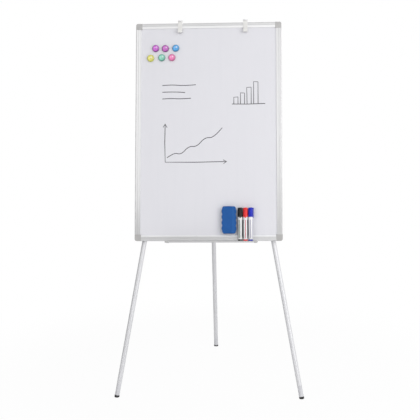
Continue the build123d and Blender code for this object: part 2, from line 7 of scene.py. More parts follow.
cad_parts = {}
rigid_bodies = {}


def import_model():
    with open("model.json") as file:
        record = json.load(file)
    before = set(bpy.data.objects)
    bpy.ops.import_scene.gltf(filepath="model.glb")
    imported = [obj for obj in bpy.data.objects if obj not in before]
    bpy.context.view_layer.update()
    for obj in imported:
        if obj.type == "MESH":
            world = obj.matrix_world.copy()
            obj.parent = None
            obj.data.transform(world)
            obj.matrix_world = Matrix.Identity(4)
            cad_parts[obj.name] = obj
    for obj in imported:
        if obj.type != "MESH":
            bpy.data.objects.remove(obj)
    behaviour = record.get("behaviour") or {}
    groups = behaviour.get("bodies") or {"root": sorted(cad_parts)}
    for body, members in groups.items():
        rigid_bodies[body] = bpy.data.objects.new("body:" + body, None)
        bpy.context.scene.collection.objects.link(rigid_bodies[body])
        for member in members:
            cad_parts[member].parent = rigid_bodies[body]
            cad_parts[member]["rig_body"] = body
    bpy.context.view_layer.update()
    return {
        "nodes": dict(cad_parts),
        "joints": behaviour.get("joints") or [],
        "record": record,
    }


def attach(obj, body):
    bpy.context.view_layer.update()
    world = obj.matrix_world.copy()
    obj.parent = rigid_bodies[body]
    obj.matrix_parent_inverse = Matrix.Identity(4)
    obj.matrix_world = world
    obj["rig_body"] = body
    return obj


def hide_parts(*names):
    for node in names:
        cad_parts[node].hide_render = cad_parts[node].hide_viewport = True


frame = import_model()
nodes = frame["nodes"]
joints = {joint["name"]: joint for joint in frame["joints"]}
slotOf = {part["node"]: part["material_slot"] for part in frame["record"]["subparts"]}
mm = 0.001


def axesMatrix(origin, x, y, z):
    matrix = Matrix((x, y, z)).transposed().to_4x4()
    matrix.translation = origin
    return matrix


# Board space in millimetres: u to the right, v up from the lower edge, w out of the writing side
boardSizes = {"height": 900, "width": 600, "rail": 20, "face": -3}
across = Vector((1, 0, 0))
upBoard = Vector(joints["lift_pen_black"]["axis"]).normalized()
outBoard = Vector(joints["pull_eraser"]["axis"]).normalized()
knobPlace = Vector(joints["turn_knob_left"]["pos_m"])  # on the top edge, halfway through the rail
boardOrigin = (Vector((0, knobPlace.y, knobPlace.z)) - upBoard * boardSizes["height"] * mm
               + outBoard * boardSizes["rail"] / 2 * mm)
boardSpace = axesMatrix(boardOrigin, across, upBoard, outBoard) @ Matrix.Scale(mm, 4)

# Leg spaces in millimetres: z down from the pivot, x towards the board
legSpaces = {}
for leg in ("left", "right", "rear"):
    down = -Vector(joints[f"height_{leg}"]["axis"]).normalized()
    toBoard = (-across).cross(down) if leg == "rear" else outBoard
    legSpaces[leg] = (axesMatrix(Vector(joints[f"fold_{leg}"]["pos_m"]), toBoard, down.cross(toBoard), down)
                      @ Matrix.Scale(mm, 4))


# A node's two corners in one of these spaces
def boxIn(space, node):
    place = space.inverted() @ nodes[node].matrix_world
    points = [place @ vertex.co for vertex in nodes[node].data.vertices]
    return [Vector([pick(point[axis] for point in points) for axis in range(3)]) for pick in (min, max)]


# Camera, worked out from the board's corners and the three feet
cameraSettings = {"place": (0.1783, -3.3849, 1.2028), "yaw": 3.089, "pitch": 8.193, "roll": -0.648,
                  "lens": 68.05, "sensor": 36}
camera = bpy.data.objects.new("camera", bpy.data.cameras.new("camera"))
camera.data.sensor_width = cameraSettings["sensor"]
camera.data.lens = cameraSettings["lens"]
camera.matrix_world = (Matrix.Translation(cameraSettings["place"])
                       @ Matrix.Rotation(radians(cameraSettings["yaw"]), 4, "Z")
                       @ Matrix.Rotation(radians(90 - cameraSettings["pitch"]), 4, "X")
                       @ Matrix.Rotation(radians(cameraSettings["roll"]), 4, "Z"))
bpy.context.scene.collection.objects.link(camera)
bpy.context.scene.camera = camera
print("camera placed")


# A node's output, on which Python's operators add Math nodes
class Wire:
    def __init__(self, finish, socket):
        self.finish = finish
        self.socket = socket

    def math(self, operation, first, second=0.0):
        return self.finish.add("Math", {"operation": operation}, {0: first, 1: second})

    def __add__(self, other):
        return self.math("ADD", self, other)

    def __radd__(self, other):
        return self.math("ADD", other, self)

    def __sub__(self, other):
        return self.math("SUBTRACT", self, other)

    def __rsub__(self, other):
        return self.math("SUBTRACT", other, self)

    def __mul__(self, other):
        return self.math("MULTIPLY", self, other)

    def __truediv__(self, other):
        return self.math("DIVIDE", self, other)

    def __gt__(self, other):
        return self.math("GREATER_THAN", self, other)

    def __lt__(self, other):
        return self.math("LESS_THAN", self, other)

    def __or__(self, other):
        return self.math("MAXIMUM", self, other)

    def __abs__(self):
        return self.math("ABSOLUTE", self)

    def softStep(self, low, high):  # 0 below low, 1 above high
        return self.finish.add("MapRange", {"interpolation_type": "SMOOTHSTEP"},
                               {"Value": self, "From Min": low, "From Max": high})


# A material, or the world, and the one way in which its nodes are made
class Finish:
    def __init__(self, name, world=None):
        self.material = world or bpy.data.materials.new(name)
        self.material.use_nodes = True
        self.tree = self.material.node_tree
        self.tree.nodes.clear()

    def add(self, kind, settings=None, sockets=None, output=0):
        node = self.tree.nodes.new("ShaderNode" + kind)
        for key, value in (settings or {}).items():
            if key == "stops":
                for index, (position, colour) in enumerate(value):
                    stop = (node.color_ramp.elements[index] if index < 2
                            else node.color_ramp.elements.new(position))
                    stop.position = position
                    stop.color = colour
            else:
                setattr(node, key, value)
        for key, value in (sockets or {}).items():
            if isinstance(value, Wire):
                self.tree.links.new(value.socket, node.inputs[key])
            else:
                node.inputs[key].default_value = value
        if isinstance(output, tuple):
            return [Wire(self, node.outputs[key]) for key in output]
        return Wire(self, node.outputs[output]) if node.outputs else None

    # Object coordinates, turned so that x, y and z lie along a space's own axes, in metres
    def inSpace(self, space=None, scale=(1, 1, 1)):
        place = self.add("TexCoord", output=3)
        if space is not None:
            turn = space.to_quaternion().inverted()
            place = self.add("Mapping", None, {"Vector": place, "Rotation": turn.to_euler(),
                                               "Location": -(turn @ space.translation)})
        return self.add("Mapping", None, {"Vector": place, "Scale": scale}) if scale != (1, 1, 1) else place

    def parts(self, place):
        return self.add("SeparateXYZ", None, {0: place}, (0, 1, 2))

    def noise(self, place, scale, detail=2, roughness=0.5):
        return self.add("TexNoise", None, {"Vector": place, "Scale": scale, "Detail": detail,
                                           "Roughness": roughness})

    def cells(self, place, scale, output=0):
        return self.add("TexVoronoi", None, {"Vector": place, "Scale": scale}, output)

    def distance(self, across, along):
        return self.add("Math", {"operation": "SQRT"}, {0: across * across + along * along})

    def tint(self, first, second, mask):  # first where the mask is 0, second where it is 1
        return self.add("Mix", {"data_type": "RGBA"}, {0: mask, 6: first, 7: second}, 2)

    def bump(self, height, distance, strength=1.0):
        return self.add("Bump", None, {"Height": height, "Distance": distance, "Strength": strength})

    def surface(self, **sockets):
        names = {"colour": "Base Color", "roughness": "Roughness", "metallic": "Metallic", "normal": "Normal",
                 "coat": "Coat Weight", "coatRoughness": "Coat Roughness", "sheen": "Sheen Weight",
                 "specular": "Specular IOR Level"}
        shader = self.add("BsdfPrincipled", None, {names[key]: value for key, value in sockets.items()})
        self.add("OutputMaterial", None, {"Surface": shader})
        return self.material


def paint(red, green, blue):
    return (red, green, blue, 1)


# Lacquered steel writing sheet: a cool white with the faint haze and streaks of earlier wiping
def makeWritingSheet():
    look = {"white": paint(0.752, 0.749, 0.782), "haze": paint(0.70, 0.703, 0.742), "hazeShare": 0.35,
            "gloss": 0.2, "wiped": 0.34, "coat": 0.35, "coatRoughness": 0.12, "peel": 0.00003,
            "peelScale": 420, "wipeStretch": (2.2, 1, 14), "wipeScale": 2.4, "wipeEdge": (0.5, 0.8),
            "patchScale": 3.5, "patchEdge": (0.45, 0.75), "streakStretch": (15, 0.7, 1), "streakScale": 3,
            "streakEdge": (0.45, 0.75), "streakShare": 0.45}
    finish = Finish("writingSheet")
    place = finish.inSpace(boardSpace)
    wipes = finish.noise(finish.inSpace(boardSpace, look["wipeStretch"]), look["wipeScale"], 4, 0.55)
    patches = finish.noise(place, look["patchScale"], 3).softStep(*look["patchEdge"])
    streaks = finish.noise(finish.inSpace(boardSpace, look["streakStretch"]), look["streakScale"])
    haze = (wipes.softStep(*look["wipeEdge"]) * patches
            + streaks.softStep(*look["streakEdge"]) * look["streakShare"])
    peel = finish.noise(place, look["peelScale"])
    return finish.surface(colour=finish.tint(look["white"], look["haze"], haze * look["hazeShare"]),
                          roughness=look["gloss"] + haze * (look["wiped"] - look["gloss"]),
                          coat=look["coat"], coatRoughness=look["coatRoughness"],
                          normal=finish.bump(peel, look["peel"]))


# Satin anodised extrusion, whose grain is drawn out along the width or, on the side rails, through the depth.
# Its tone, painted highlight and shade, runs from the outer edge to the inner bead, and painted shade darkens
# it towards the foot of the board.
def makeAnodised(name, along, look):
    finish = Finish(name)
    stretch = (look["drawn"], 1, 1) if along == "u" else (1, 1, look["drawn"])
    lines = finish.noise(finish.inSpace(boardSpace, stretch), look["lineScale"], 3, 0.6)
    cloud = finish.noise(finish.inSpace(boardSpace), look["cloudScale"])
    u, v = finish.parts(finish.inSpace(boardSpace))[:2]
    half = Vector((boardSizes["width"], boardSizes["height"])) / 2 * mm
    inwards = half.x - abs(u) if along == "v" else half.y - abs(v - half.y)
    share = inwards / (look["face"] * mm)
    # painted highlight and shade across the rail's face
    profile = finish.add("ValToRGB", {"stops": look["profile"]}, {0: share})
    bead = share.softStep(*look["beadEdge"]) * look["bead"]  # where there is a bead, it is less metallic
    # painted shade towards the foot of the board
    tone = finish.tint(profile, look["low"], (1 - v.softStep(0.0, look["paintedShadeHeight"])) * look["paintedShadeShare"])
    colour = finish.tint(tone, look["line"], lines * look["lineShare"] + cloud * look["cloudShare"])
    return finish.surface(colour=colour, metallic=look["metallic"] - bead,
                          roughness=look["roughness"] + lines * look["lineRoughness"],
                          normal=finish.bump(lines, look["lineDepth"], look["lineStrength"]))


# Moulded plastic with the fine grain of a spark-eroded mould
mouldLook = {"grainScale": 1500, "grain": 0.00004, "grainRoughness": 0.12, "flowScale": 26,
             "flowEdge": (0.3, 0.7), "coat": 0.0, "coatRoughness": 0.15, "specular": 0.5}


def makeMoulded(name, ownLook):
    look = {**mouldLook, **ownLook}
    finish = Finish(name)
    place = finish.inSpace()
    grain = finish.noise(place, look["grainScale"], 3, 0.6)
    flow = finish.noise(place, look["flowScale"], 3).softStep(*look["flowEdge"])
    return finish.surface(colour=finish.tint(look["dark"], look["light"], flow),
                          roughness=look["roughness"] + grain * look["grainRoughness"],
                          coat=look["coat"], coatRoughness=look["coatRoughness"], specular=look["specular"],
                          normal=finish.bump(grain, look["grain"]))


# Powder coat: a fine orange peel, with lighter flecks where it holds metal flake
coatLook = {"peelScale": 700, "peelRoughness": 0.12, "fleckScale": 2600, "fleckEdge": (0.15, 0.5),
            "fleckShare": 0.5, "cloudScale": 7, "cloudShare": 0.5}


def makePowderCoat(name, ownLook):
    look = {**coatLook, **ownLook}
    finish = Finish(name)
    place = finish.inSpace()
    peel = finish.noise(place, look["peelScale"])
    flecks = finish.cells(place, look["fleckScale"]).softStep(*look["fleckEdge"])
    cloud = finish.noise(place, look["cloudScale"], 3)
    shade = flecks * look["fleckShare"] + cloud * look["cloudShare"]
    return finish.surface(colour=finish.tint(look["light"], look["dark"], shade), metallic=look["metallic"],
                          roughness=look["roughness"] + peel * look["peelRoughness"],
                          normal=finish.bump(peel, look["peel"]))


# Zinc-plated steel with a slightly clouded plating
def makeZinc():
    look = {"dark": paint(0.50, 0.50, 0.52), "light": paint(0.68, 0.68, 0.70), "roughness": 0.22,
            "cloudScale": 160, "cloudRoughness": 0.14, "scratchScale": 2200, "scratch": 0.00001}
    finish = Finish("zincSteel")
    place = finish.inSpace()
    cloud = finish.noise(place, look["cloudScale"], 3)
    scratches = finish.noise(place, look["scratchScale"], 2, 0.7)
    return finish.surface(colour=finish.tint(look["dark"], look["light"], cloud), metallic=1.0,
                          roughness=look["roughness"] + cloud * look["cloudRoughness"],
                          normal=finish.bump(scratches, look["scratch"]))


# Hot-dip spangle on the back sheet
def makeGalvanised():
    look = {"dark": paint(0.54, 0.555, 0.57), "light": paint(0.64, 0.65, 0.665), "crystal": 105,
            "crystalShare": 0.8, "crystalRoughness": 0.12, "frostScale": 500, "frostShare": 0.2,
            "frost": 0.00001, "metallic": 0.85, "roughness": 0.36}
    finish = Finish("galvanisedSheet")
    place = finish.inSpace(boardSpace)
    crystals = finish.add("SeparateColor", None, {0: finish.cells(place, look["crystal"], 1)})
    frost = finish.noise(place, look["frostScale"])
    shade = crystals * look["crystalShare"] + frost * look["frostShare"]
    return finish.surface(colour=finish.tint(look["dark"], look["light"], shade), metallic=look["metallic"],
                          roughness=look["roughness"] + crystals * look["crystalRoughness"],
                          normal=finish.bump(frost, look["frost"]))


def makeCoreBoard():
    look = {"dark": paint(0.38, 0.27, 0.16), "light": paint(0.58, 0.45, 0.30), "roughness": 0.85,
            "stretch": (1, 3, 1), "scale": 260, "depth": 0.0001}
    finish = Finish("coreBoard")
    fibres = finish.noise(finish.inSpace(boardSpace, look["stretch"]), look["scale"], 5, 0.7)
    return finish.surface(colour=finish.tint(look["dark"], look["light"], fibres),
                          roughness=look["roughness"], normal=finish.bump(fibres, look["depth"]))


# Rubber of the feet, dusty near the floor
def makeRubber():
    look = {"black": paint(0.018, 0.018, 0.019), "dust": paint(0.11, 0.105, 0.10), "dustHeight": 0.012,
            "dustEdge": (0.4, 0.7), "dustShare": 0.3, "grainScale": 700, "grain": 0.00012,
            "roughness": 0.62, "grainRoughness": 0.2}
    finish = Finish("footRubber")
    place = finish.inSpace()
    height = finish.parts(place)[2]
    grain = finish.noise(place, look["grainScale"], 4, 0.65)
    dust = (1 - height.softStep(0.0, look["dustHeight"])) * grain.softStep(*look["dustEdge"])
    return finish.surface(colour=finish.tint(look["black"], look["dust"], dust * look["dustShare"]),
                          roughness=look["roughness"] + grain * look["grainRoughness"],
                          normal=finish.bump(grain, look["grain"]))


# Eraser foam: closed pores, and a band of moulded diagonal ribs down its right-hand side
def makeEraserFoam():
    look = {"blue": paint(0.016, 0.110, 0.370), "deep": paint(0.010, 0.078, 0.28),
            "rib": paint(0.04, 0.17, 0.50), "poreScale": 1500, "poreEdge": (0.1, 0.6), "poreShare": 0.4,
            "poreDepth": 0.3, "cloudScale": 60, "cloudShare": 0.6, "bandMiddle": 0.1015, "bandHalf": 0.0060,
            "bandSoft": 0.85, "ribPitch": 0.0060, "ribSlant": 0.8, "ribEdge": (0.0, 0.7), "ribShare": 0.7,
            "topFace": 0.0165, "depth": 0.0005, "roughness": 0.72, "specular": 0.25}
    finish = Finish("eraserFoam")
    place = finish.inSpace(boardSpace)
    u, v, w = finish.parts(place)
    pores = finish.cells(place, look["poreScale"]).softStep(*look["poreEdge"])
    cloud = finish.noise(place, look["cloudScale"], 4, 0.6)
    band = 1 - abs(u - look["bandMiddle"]).softStep(look["bandHalf"] * look["bandSoft"], look["bandHalf"])
    climb = (u + v * look["ribSlant"]) * (2 * pi / look["ribPitch"])
    wave = finish.add("Math", {"operation": "SINE"}, {0: climb})
    ribs = wave.softStep(*look["ribEdge"]) * band * (w > look["topFace"])
    foam = finish.tint(look["deep"], look["blue"], cloud * look["cloudShare"] + pores * look["poreShare"])
    return finish.surface(colour=finish.tint(foam, look["rib"], ribs * look["ribShare"]),
                          roughness=look["roughness"], specular=look["specular"],
                          normal=finish.bump(pores * look["poreDepth"] + ribs, look["depth"]))


def makeFelt():
    look = {"dark": paint(0.10, 0.10, 0.115), "light": paint(0.21, 0.21, 0.23), "scale": 1300,
            "depth": 0.0004, "roughness": 0.95, "sheen": 0.5}
    finish = Finish("eraserFelt")
    fibres = finish.noise(finish.inSpace(), look["scale"], 6, 0.75)
    return finish.surface(colour=finish.tint(look["dark"], look["light"], fibres),
                          roughness=look["roughness"], sheen=look["sheen"],
                          normal=finish.bump(fibres, look["depth"]))


# Pen barrel: white moulded tube, printed with a plain line and a band at its foot, with painted shade round
# its back and sides for the shade in the gaps between the pens. Heights are in metres from the pen's foot,
# edges of the painted shade are shares of the barrel's radius.
printLook = {"white": paint(0.84, 0.84, 0.84), "shade": paint(0.45, 0.45, 0.46), "start": (0.0150, 0.0155),
             "end": (0.0885, 0.0890), "lineSoft": 1.3, "panelLow": 0.72, "panelHigh": 0.80, "band": 0.0125,
             "bandEdge": (0.0005, 0.0008), "bandShare": 0.6, "grainScale": 1200, "grain": 0.00001,
             "roughness": 0.3, "grainRoughness": 0.06, "coat": 0.25, "coatRoughness": 0.1}


def makeBarrel(colour, place, ownLook):
    look = {**printLook, **ownLook}
    finish = Finish(f"penBarrel_{colour}")
    u, v, w = finish.parts(finish.inSpace(boardSpace))
    front = w > place["axis"] * mm
    climb = v - place["foot"] * mm
    aside = u - place["u"] * mm
    run = climb.softStep(*look["start"]) * (1 - climb.softStep(*look["end"]))
    width = look["line"] * mm
    line = (1 - abs(aside - look["offset"] * mm).softStep(width, width * look["lineSoft"])) * front * run
    radius = place["radius"] * mm
    # painted shade on the barrel's sides and back, for the shade between the pens
    sides = abs(aside).softStep(radius * look["panelLow"], radius * look["panelHigh"])
    panel = (1 - front + sides * front) * run
    band = (1 - abs(climb - look["band"]).softStep(*look["bandEdge"])) * look["bandShare"]
    grain = finish.noise(finish.inSpace(), look["grainScale"])
    printed = finish.tint(finish.tint(look["white"], look["shade"], band), look["panel"], panel)
    return finish.surface(colour=finish.tint(printed, look["ink"], line),
                          roughness=look["roughness"] + grain * look["grainRoughness"], coat=look["coat"],
                          coatRoughness=look["coatRoughness"], normal=finish.bump(grain, look["grain"]))


# Tinted magnet dome with painted shade at the rim, darker still in arcs at the upper left and lower right, a
# darker eye, a painted highlight beside the eye, and a ferrite disc below
domeLook = {"shadedArcEdge": (0.004, 0.017), "across": 0.5, "least": 0.6, "rimShadeEdge": (0.0072, 0.0138),
            "eyeEdge": (0.0012, 0.0045), "eyeShare": 0.7, "paintedHighlightPlace": (0.0028, 0.0036),
            "paintedHighlightEdge": (0.0008, 0.0062), "paintedHighlightShare": 0.55, "paintedHighlight": paint(0.95, 0.93, 0.95),
            "ferrite": paint(0.03, 0.03, 0.032), "ferriteTop": 0.00005, "ferriteEdge": (0.0098, 0.0100),
            "ferriteRoughness": 0.5, "grainScale": 900, "grain": 0.000008, "roughness": 0.12,
            "grainRoughness": 0.05, "coatRoughness": 0.05}


def makeMagnet(name, ownLook):
    look = {**domeLook, **ownLook}
    finish = Finish(name)
    space = boardSpace.copy()
    space.translation = boardSpace @ Vector((look["u"], look["v"], look["seat"]))
    u, v, w = finish.parts(finish.inSpace(space))
    radius = finish.distance(u, v)
    # painted shade: the rim darker, more so in arcs at the upper left and lower right
    shadedArcs = abs(u - v).softStep(*look["shadedArcEdge"]) * look["across"] + look["least"]
    rim = radius.softStep(*look["rimShadeEdge"]) * shadedArcs
    eye = 1 - radius.softStep(*look["eyeEdge"])
    # painted highlight, up and to the right of the eye
    highlightAcross, highlightUp = look["paintedHighlightPlace"]
    paintedHighlight = 1 - finish.distance(u - highlightAcross, v - highlightUp).softStep(*look["paintedHighlightEdge"])
    body = finish.tint(look["light"], look["deep"], rim)
    body = finish.tint(body, look["eye"], eye * look["eyeShare"])
    body = finish.tint(body, look["paintedHighlight"], paintedHighlight * look["paintedHighlightShare"])
    ferrite = (w < look["ferriteTop"]) * (1 - radius.softStep(*look["ferriteEdge"]))
    grain = finish.noise(finish.inSpace(), look["grainScale"])
    return finish.surface(colour=finish.tint(body, look["ferrite"], ferrite),
                          roughness=(look["roughness"] + grain * look["grainRoughness"]
                                     + ferrite * look["ferriteRoughness"]),
                          coat=1.0, coatRoughness=look["coatRoughness"],
                          normal=finish.bump(grain, look["grain"]))


# Each magnet's own colour (light), the painted shade at its rim (deep), and its darker eye
magnetLooks = {
    "magnet_purple": {"light": paint(0.62, 0.12, 0.66), "deep": paint(0.20, 0.02, 0.23),
                      "eye": paint(0.40, 0.04, 0.46)},
    "magnet_violet": {"light": paint(0.58, 0.12, 0.56), "deep": paint(0.21, 0.02, 0.20),
                      "eye": paint(0.42, 0.06, 0.42)},
    "magnet_blue": {"light": paint(0.07, 0.40, 0.82), "deep": paint(0.03, 0.19, 0.38),
                    "eye": paint(0.04, 0.28, 0.74)},
    "magnet_yellow": {"light": paint(0.76, 0.70, 0.15), "deep": paint(0.48, 0.49, 0.07),
                      "eye": paint(0.72, 0.60, 0.17)},
    "magnet_mint": {"light": paint(0.25, 0.66, 0.50), "deep": paint(0.07, 0.27, 0.21),
                    "eye": paint(0.20, 0.52, 0.40)},
    "magnet_pink": {"light": paint(0.88, 0.20, 0.48), "deep": paint(0.46, 0.08, 0.22),
                    "eye": paint(0.80, 0.15, 0.42)},
}
for name, look in magnetLooks.items():
    low, high = boxIn(boardSpace, name)
    look.update({"u": (low.x + high.x) / 2, "v": (low.y + high.y) / 2, "seat": low.z,
                 "height": high.z - low.z, "radius": (high.x - low.x) / 2})
penPlaces = {}
for colour in ("black", "red", "blue"):
    low, high = boxIn(boardSpace, f"pen_plug_{colour}")
    tip = boxIn(boardSpace, f"pen_barrel_{colour}")[1].y
    penPlaces[colour] = {"u": (low.x + high.x) / 2, "axis": (low.z + high.z) / 2, "foot": low.y, "tip": tip,
                         "radius": (high.x - low.x) / 2}
# Each barrel's ink line, and the colour of the painted shade on its sides and back
barrelLooks = {
    "black": {"ink": paint(0.16, 0.22, 0.18), "panel": paint(0.11, 0.13, 0.12), "line": 1.9, "offset": -1.6},
    "red": {"ink": paint(0.60, 0.10, 0.12), "panel": paint(0.13, 0.15, 0.14), "line": 1.3, "offset": 0.1},
    "blue": {"ink": paint(0.30, 0.30, 0.40), "panel": paint(0.48, 0.48, 0.58), "line": 1.3, "offset": -0.4},
}


def grey(value):
    return paint(value, value, value * 1.005)


# Rail tones: each profile is painted highlight and shade across the rail, and low is painted shade towards
# the foot of the board. The left rail is a lit copy, brighter, and the right rail a shaded copy, darker; the
# bottom rail's last stops are a painted highlight along its inner bead.
railLook = {"face": 22, "metallic": 0.75, "roughness": 0.26, "line": grey(0.60), "low": grey(0.54),
            "paintedShadeShare": 0.75, "paintedShadeHeight": 0.42, "bead": 0, "beadEdge": (0.78, 0.84), "drawn": 0.004,
            "lineScale": 1400, "lineShare": 0.35, "lineRoughness": 0.16, "lineDepth": 0.00002,
            "lineStrength": 0.6, "cloudScale": 9, "cloudShare": 0.15,
            "profile": [(0.0, grey(0.60)), (0.12, grey(0.54)), (0.28, grey(0.68)), (0.46, grey(0.70)),
                        (0.52, grey(0.58)), (0.60, grey(0.84)), (0.85, grey(0.92)), (1.0, grey(0.88))]}
litLeftRailLook = {**railLook, "low": grey(0.56), "paintedShadeHeight": 0.22,
                "profile": [(0.0, grey(0.76)), (0.10, grey(0.62)), (0.22, grey(0.90)), (0.42, grey(0.90)),
                            (0.50, grey(0.62)), (0.58, grey(0.92)), (0.80, grey(0.92)), (0.88, grey(0.66)),
                            (0.96, grey(0.92)), (1.0, grey(0.92))]}
shadedRightRailLook = {**railLook,
                 "profile": [(0.0, grey(0.62)), (0.12, grey(0.54)), (0.28, grey(0.67)), (0.46, grey(0.68)),
                             (0.52, grey(0.56)), (0.60, grey(0.68)), (0.85, grey(0.72)), (1.0, grey(0.74))]}
lowRailLook = {**railLook, "line": grey(0.64), "paintedShadeShare": 0, "bead": 0.65,
               "profile": [(0.0, grey(0.80)), (0.12, grey(0.74)), (0.30, grey(0.70)), (0.46, grey(0.70)),
                           (0.52, grey(0.60)), (0.60, grey(0.70)), (0.78, grey(0.72)), (0.84, grey(0.97)),
                           (1.0, grey(0.97))]}
trayLook = {**lowRailLook, "bead": 0, "profile": [(0.0, grey(0.66)), (1.0, grey(0.66))]}
finishes = {
    "writing_white": makeWritingSheet(),
    "core_board": makeCoreBoard(),
    "galvanised": makeGalvanised(),
    # rails with painted highlight and shade: the left rail a lit copy, the right rail a shaded copy
    "rail_aluminium": makeAnodised("railAlongWidth", "u", railLook),
    "rail_left": makeAnodised("railAlongLeft", "v", litLeftRailLook),
    "rail_right": makeAnodised("railAlongRight", "v", shadedRightRailLook),
    "rail_low": makeAnodised("railAlongFoot", "u", lowRailLook),
    "tray_aluminium": makeAnodised("trayAlongWidth", "u", trayLook),
    "corner_grey": makeMoulded("cornerPlastic", {
        "dark": paint(0.43, 0.425, 0.415), "light": paint(0.52, 0.515, 0.505), "roughness": 0.40}),
    "bracket_paint": makePowderCoat("bracketPaint", {
        "dark": paint(0.46, 0.46, 0.47), "light": paint(0.56, 0.56, 0.57), "metallic": 0.1,
        "roughness": 0.42, "peel": 0.00006}),
    "pin_steel": makeZinc(),
    "nylon": makeMoulded("naturalNylon", {
        "dark": paint(0.66, 0.66, 0.63), "light": paint(0.74, 0.74, 0.71), "roughness": 0.38}),
    "leg_paint": makePowderCoat("tubePaint", {
        "dark": paint(0.69, 0.69, 0.70), "light": paint(0.79, 0.79, 0.81), "metallic": 0.25,
        "roughness": 0.38, "peel": 0.00001}),
    "leg_plastic": makeMoulded("legPlastic", {
        "dark": paint(0.61, 0.61, 0.63), "light": paint(0.69, 0.69, 0.71), "roughness": 0.40}),
    "collar_plastic": makeMoulded("collarPlastic", {
        "dark": paint(0.17, 0.17, 0.175), "light": paint(0.21, 0.21, 0.215), "roughness": 0.44}),
    "lever_plastic": makeMoulded("leverPlastic", {
        "dark": paint(0.05, 0.05, 0.053), "light": paint(0.07, 0.07, 0.073), "roughness": 0.40}),
    "foot_rubber": makeRubber(),
    "hook_ivory": makeMoulded("hookPlastic", {
        "dark": paint(0.76, 0.755, 0.73), "light": paint(0.82, 0.815, 0.79), "roughness": 0.32, "coat": 0.2}),
    "knob_grey": makeMoulded("knobPlastic", {
        "dark": paint(0.81, 0.81, 0.805), "light": paint(0.88, 0.88, 0.875), "roughness": 0.40}),
    "eraser_blue": makeEraserFoam(),
    "eraser_felt": makeFelt(),
    "ink_black": makeMoulded("capBlack", {
        "dark": paint(0.008, 0.008, 0.008), "light": paint(0.014, 0.014, 0.014), "roughness": 0.30,
        "specular": 0.32, "grain": 0.00001}),
    "ink_red": makeMoulded("capRed", {
        "dark": paint(0.80, 0.020, 0.022), "light": paint(0.90, 0.036, 0.036), "roughness": 0.30,
        "specular": 0.45, "grain": 0.00001}),
    "ink_blue": makeMoulded("capBlue", {
        "dark": paint(0.004, 0.012, 0.40), "light": paint(0.008, 0.022, 0.50), "roughness": 0.30,
        "specular": 0.32, "grain": 0.00001}),
}
for colour, place in penPlaces.items():
    finishes[f"pen_white_{colour}"] = makeBarrel(colour, place, barrelLooks[colour])
for name, look in magnetLooks.items():
    finishes[name] = makeMagnet(name + "Tint", look)


def finishOf(node):
    ownRail = {"frame_left": "rail_left", "frame_right": "rail_right", "frame_bottom": "rail_low"}
    if node in ownRail:
        return finishes[ownRail[node]]
    if node.startswith("pen_barrel_"):
        return finishes["pen_white_" + node.rsplit("_", 1)[1]]
    return finishes[node if node in magnetLooks else slotOf[node]]


for name, node in nodes.items():
    for materialSlot in node.material_slots:
        materialSlot.material = finishOf(name)
print("finishes given to", len(nodes), "CAD nodes")


# Links a finished shape as a piece of its body
def addPiece(name, shape, body, material, space=None, sharpAngle=35):
    if space is not None:
        shape.transform(space)
    mesh = bpy.data.meshes.new(name)
    shape.to_mesh(mesh)
    shape.free()
    mesh.shade_smooth()
    mesh.set_sharp_from_angle(angle=radians(sharpAngle))
    mesh.materials.append(material)
    piece = bpy.data.objects.new(name, mesh)
    bpy.context.scene.collection.objects.link(piece)
    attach(piece, body)
    return piece


# Pieces that are sharp-edged in the CAD, made again with the small rounding of the real ones
roundedEdges = {"corner_caps": 0.5, "pen_tray": 0.35, "tray_ends": 0.6, "eraser_foam": 1.8,
                "eraser_felt": 0.6, "hook_left": 0.7, "hook_right": 0.7, "hook_knob_left": 0.7,
                "hook_knob_right": 0.7, "leg_rests": 0.7, "rear_clevis": 0.4}
for leg in legSpaces:
    roundedEdges.update({f"knuckle_{leg}": 0.9, f"lock_collar_{leg}": 0.7, f"lock_lever_{leg}": 0.7,
                         f"foot_plug_{leg}": 0.6, f"rubber_foot_{leg}": 0.7})
for colour in penPlaces:
    roundedEdges.update({f"pen_cap_{colour}": 0.45, f"pen_plug_{colour}": 0.5})
roundSizes = {"weld": 2e-6, "flat": 0.4, "sharp": 30, "segments": 2}
lipDrop = {"under": 3.0, "reach": 3, "above": -2}  # the tray's lip is lowered so that the pens' plugs show


def makeRounded(node, width):
    shape = bmesh.new()
    shape.from_mesh(nodes[node].data)
    bmesh.ops.remove_doubles(shape, verts=shape.verts, dist=roundSizes["weld"])
    bmesh.ops.dissolve_limit(shape, angle_limit=radians(roundSizes["flat"]), verts=shape.verts,
                             edges=shape.edges)
    if node == "pen_tray":
        toBoard = boardSpace.inverted()
        front = boxIn(boardSpace, node)[1].z - lipDrop["reach"]
        lip = [vert for vert in shape.verts
               if (toBoard @ vert.co).z > front and (toBoard @ vert.co).y > lipDrop["above"]]
        bmesh.ops.translate(shape, verts=lip, vec=upBoard * -lipDrop["under"] * mm)
    sharp = [edge for edge in shape.edges
             if edge.is_manifold and edge.calc_face_angle() > radians(roundSizes["sharp"])]
    bmesh.ops.bevel(shape, geom=sharp, offset=width * mm, offset_type="OFFSET",
                    segments=roundSizes["segments"], profile=0.5, affect="EDGES", clamp_overlap=True,
                    material=-1)
    piece = addPiece("rounded_" + node, shape, nodes[node]["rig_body"], finishOf(node))
    weighted = piece.modifiers.new("weightedNormals", "WEIGHTED_NORMAL")
    weighted.keep_sharp = True
    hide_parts(node)


for node, width in roundedEdges.items():
    makeRounded(node, width)
print("edges rounded on", len(roundedEdges), "pieces")

# Magnets: a spun button with a domed rim and a dished top
magnetSizes = {"skirt": 2.6, "rim": 4.2, "dish": 2.2, "foot": 0.4, "segments": 72, "roundSteps": 7,
               "sharpAngle": 50}


